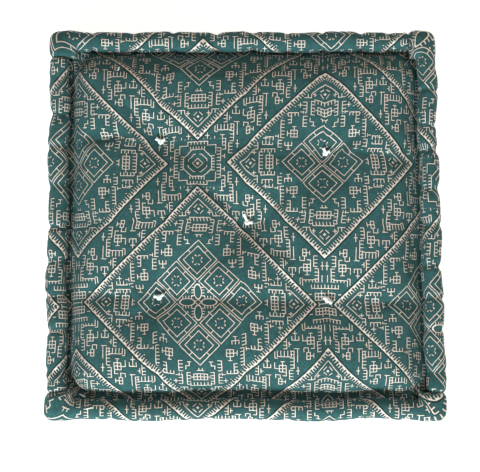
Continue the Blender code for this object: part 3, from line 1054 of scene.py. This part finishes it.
KNOT_CORD_R = 0.0020
KNOT_TURNS = ((0.3, 0.0022, 0.0026), (-0.36, 0.0042, 0.0021))  # how each leans, its height and its radius


def knot(layer, place, face_z, ends):
    """A cord knotted down on the cloth, with two cut and fraying ends."""
    rng = random.Random(f"knot {layer} {place}")
    at = tuft_point(place, layer)
    up = 1 if layer == "top" else -1
    base = np.array([at.x, at.y, face_z])
    pieces = []
    for lean, height, size in KNOT_TURNS:
        turn = np.linspace(0, 2 * math.pi * 0.93, 26) + rng.uniform(0, 6)
        right, back = size * np.cos(turn), size * np.sin(turn)
        ring = base + np.column_stack([right, back, (height + lean * back) * up])
        pieces.append(sweep(ring, KNOT_CORD_R * 0.95, 9))
    for degrees, reach in ends:
        angle, reach = math.radians(degrees), reach / 1000
        right, back = math.cos(angle), math.sin(angle)
        out_and_up = ((0.0006, 0.0022), (reach * 0.35, 0.0058), (reach * 0.7, 0.0066), (reach, 0.0068))
        line = [base + np.array([right * out, back * out, rise * up]) for out, rise in out_and_up]
        pieces += twisted(line, KNOT_CORD_R, 3, 0.0045, 26, rng, fray=0.0011)
    return joined(f"{layer}_tie_{place}", pieces)


# cut ends of thread that stand out of the cloth: which thread, where, heading in degrees and length
LOOSE_ENDS = (
    ("back", (-0.1935, 0.231), 75, 0.006),
    ("front", (-0.250, -0.256), -30, 0.010),
    ("front", (-0.237, -0.279), 12, 0.010),
)


THREAD_R = 0.0006
THREAD_DEPTH = 0.013  # from the CAD thread into the cushion, so that the cloth of the groove covers it
THREAD_DIP = 0.0035  # between stitches


def edge_thread(layer, side):
    """The thread that holds a roll: it runs under the groove and dips between one stitch and the next."""
    points, _, length, _ = side_path(side, math.radians(44), math.radians(44), inset=ROLL_R + 0.001)
    node_low, node_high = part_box(f"{layer}_edge_thread_{side}")
    inward = -1 if layer == "top" else 1
    dip = THREAD_DIP * (1 - np.cos(2 * math.pi * length / (STITCH_STEP / 4)) ** 2)
    height = (node_low.z + node_high.z) / 2 + inward * (dip + THREAD_DEPTH)
    pieces = [sweep(np.column_stack([points, height]), THREAD_R, 6)]
    if layer == "top":
        for owner, at, heading, reach in LOOSE_ENDS:
            if owner == side:
                pieces += thread_end(at, math.radians(heading), reach)
    return joined(f"{layer}_thread_{side}", pieces)


def highest_cloth(x, y):
    """The height of the top cloth at a place, over the panel and the rolls made so far."""
    pieces = [obj for obj in bpy.data.objects if obj.name.startswith(("top_cover", "top_roll"))]
    return max(cast(obj, x, y) or 0.0 for obj in pieces)


def thread_end(at, heading, length):
    """A short cut end of thread that lies on the cloth."""
    rng = random.Random(f"end {at}")
    way = np.array([math.cos(heading), math.sin(heading)])
    line = []
    for share, rise in ((0.0, -0.0005), (0.35, 0.0012), (0.7, 0.0012), (1.0, 0.0008)):
        x, y = np.array(at) + way * length * share
        line.append((x, y, highest_cloth(x, y) + rise))
    return twisted(line, 0.0011, 2, 0.003, 14, rng, fray=THREAD_R)


def wadding_pad(name, lower, upper):
    """One of the three batts of wadding, between two surfaces that are laid out alike, closed at its rim."""
    count = int(round(math.sqrt(len(upper))))
    faces = [f[::-1] for f in grid_faces(count, count)]
    faces += [tuple(i + len(lower) for i in f) for f in grid_faces(count, count)]
    line = np.arange(count)
    front, right, back = line, line[1:] * count + count - 1, count * count - 1 - line[1:]
    rim = np.concatenate([front, right, back, (count - 1 - line[1:-1]) * count])
    for a, b in zip(rim, np.roll(rim, -1)):
        faces.append((a, b, b + len(lower), a + len(lower)))
    obj = mesh_object(f"batt_{name}", np.vstack([lower, upper]), faces)
    finish_piece(obj, [f"wadding_{name}"], WADDING)


def surface_height(obj, at, down):
    """The mean height of a piece's surface at a place and round it, seen from above or else from below."""
    spots = [(0.0, 0.0)] + [(0.002 * math.cos(a), 0.002 * math.sin(a)) for a in np.arange(8) * math.pi / 4]
    heights = [cast(obj, at.x + x, at.y + y, down) for x, y in spots]
    met = [height for height in heights if height is not None]
    return sum(met) / len(met)


covers = {}
for layer in LAYERS:
    covers[layer] = panel(layer)
    finish_piece(covers[layer], [f"{layer}_panel"], CLOTH[layer])

PAD_STEPS = 46
line = np.linspace(-1, 1, PAD_STEPS)
grid_u, grid_v = (a.ravel() for a in np.meshgrid(line, line))
PAD_MARGIN = 0.006  # of the upper and lower batts, inside the panels' edges
MIDDLE_INSET = 0.004  # of the middle batt, inside the rolls' centreline
BATT_GAP = 0.0006
split_low, split_high = (corner.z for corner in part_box("wadding_middle"))


def pad_surface(height, cover=None, gap=0.0):
    """A surface of the upper or lower batt, level or else this far from the inside of a panel."""
    inset = LINE_X - PANEL_X + PAD_MARGIN
    x, y = rounded(grid_u, grid_v, LINE_X - inset, LINE_Y - inset, PANEL_CORNER - PAD_MARGIN)
    z = np.full(len(x), height)
    if cover is not None:
        # a little nearer the middle, so that the batt stays inside where the panel curves down
        for i, (near_x, near_y) in enumerate(zip(*hand_made_plan(x * 0.985, y * 0.985))):
            met = cast(cover, near_x, near_y, down=gap < 0)
            if met is not None:
                z[i] = met + gap
    return np.column_stack([x, y, z])


bpy.context.view_layer.update()
x, y = rounded(grid_u, grid_v, LINE_X - MIDDLE_INSET, LINE_Y - MIDDLE_INSET, CORNER_R)
middle_low, middle_high = (np.column_stack([x, y, np.full(len(x), z)]) for z in (split_low, split_high))
wadding_pad("bottom", pad_surface(0.012, covers["bottom"], 0.006), pad_surface(split_low - BATT_GAP))
wadding_pad("middle", middle_low, middle_high)
wadding_pad("top", pad_surface(split_high + BATT_GAP), pad_surface(0.080, covers["top"], -0.007))

for index, place in enumerate(PLACES):
    for layer in LAYERS:
        top = layer == "top"
        face = surface_height(covers[layer], tuft_point(place, layer), top)
        ends = TOP_ENDS[place] if top else ((40 + 130 * index, 9), (200 + 95 * index, 8))
        finish_piece(knot(layer, place, face, ends), [f"{layer}_knot_{place}"], UNDYED)
    cord = frame["nodes"][f"tuft_cord_{place}"]
    cord.data.materials.clear()
    cord.data.materials.append(UNDYED)

for cover in covers.values():
    thicken(cover)
for side in SIDES:
    for layer in LAYERS:
        roll = edge_roll(layer, side)
        finish_piece(roll, [f"{layer}_edge_roll_{side}"], CLOTH[side])
bpy.context.view_layer.update()
for side in SIDES:
    for layer in LAYERS:
        finish_piece(edge_thread(layer, side), [f"{layer}_edge_thread_{side}"], UNDYED)
    strip = boxing(side)
    thicken(strip)
    finish_piece(strip, [f"side_panel_{side}"], CLOTH["boxing"])

# ---------------------------------------------------------------- camera, lights and floor

camera = bpy.data.objects.new("camera", bpy.data.cameras.new("camera"))
bpy.context.scene.collection.objects.link(camera)
bpy.context.scene.camera = camera
CAMERA_TILT = math.radians(6.0)  # from straight above, towards the front
CAMERA_DISTANCE = 2.2
SEEN_WIDTH = 0.724  # across the picture, at the cushion's top edge
AIM = Vector((-0.009, -0.019, ROLL_Z))
camera.location = AIM + CAMERA_DISTANCE * Vector((0, -math.sin(CAMERA_TILT), math.cos(CAMERA_TILT)))
camera.rotation_euler = (CAMERA_TILT, 0, 0)
SENSOR = 36  # in millimetres
camera.data.sensor_width = SENSOR
camera.data.lens = SENSOR * CAMERA_DISTANCE / SEEN_WIDTH


LIT = Vector((0, 0, 0.05))  # what both lights aim at


def area_light(name, place, size, power, color):
    light = bpy.data.lights.new(name, "AREA")
    light.shape, light.size, light.energy, light.color = "DISK", size, power, color
    obj = bpy.data.objects.new(name, light)
    obj.location = place
    obj.rotation_euler = (LIT - Vector(place)).to_track_quat("-Z", "Y").to_euler()
    bpy.context.scene.collection.objects.link(obj)


area_light("key", (-1.5, -4.5, 2.5), 1.9, 428, (0.80, 0.96, 1.0))
area_light("fill", (1.7, 0.5, 2.6), 1.6, 34, (0.86, 0.97, 1.0))
world = bpy.data.worlds.new("studio")
bpy.context.scene.world = world
world.use_nodes = True
world.node_tree.nodes["Background"].inputs["Color"].default_value = (1.0, 0.80, 0.61, 1)
world.node_tree.nodes["Background"].inputs["Strength"].default_value = 0.36
bpy.context.scene.view_settings.view_transform = "Standard"

FLOOR_HALF = 14.0
FLOOR_Z = -0.0005
floor_mesh = bpy.data.meshes.new("floor")
floor_corners = [(FLOOR_HALF * x, FLOOR_HALF * y, FLOOR_Z) for x, y in ((-1, -1), (1, -1), (1, 1), (-1, 1))]
floor_mesh.from_pydata(floor_corners, [], [(0, 1, 2, 3)])
floor = bpy.data.objects.new("floor", floor_mesh)
bpy.context.scene.collection.objects.link(floor)
pale, _, shader = new_material("pale floor")
shader["Base Color"].default_value = (0.95, 0.95, 0.95, 1)
shader["Roughness"].default_value = 0.9
# the floor is a light table, so that the cushion's shadow stays faint
shader["Emission Color"].default_value = (1.0, 1.0, 1.0, 1)
shader["Emission Strength"].default_value = 0.56
floor_mesh.materials.append(pale)
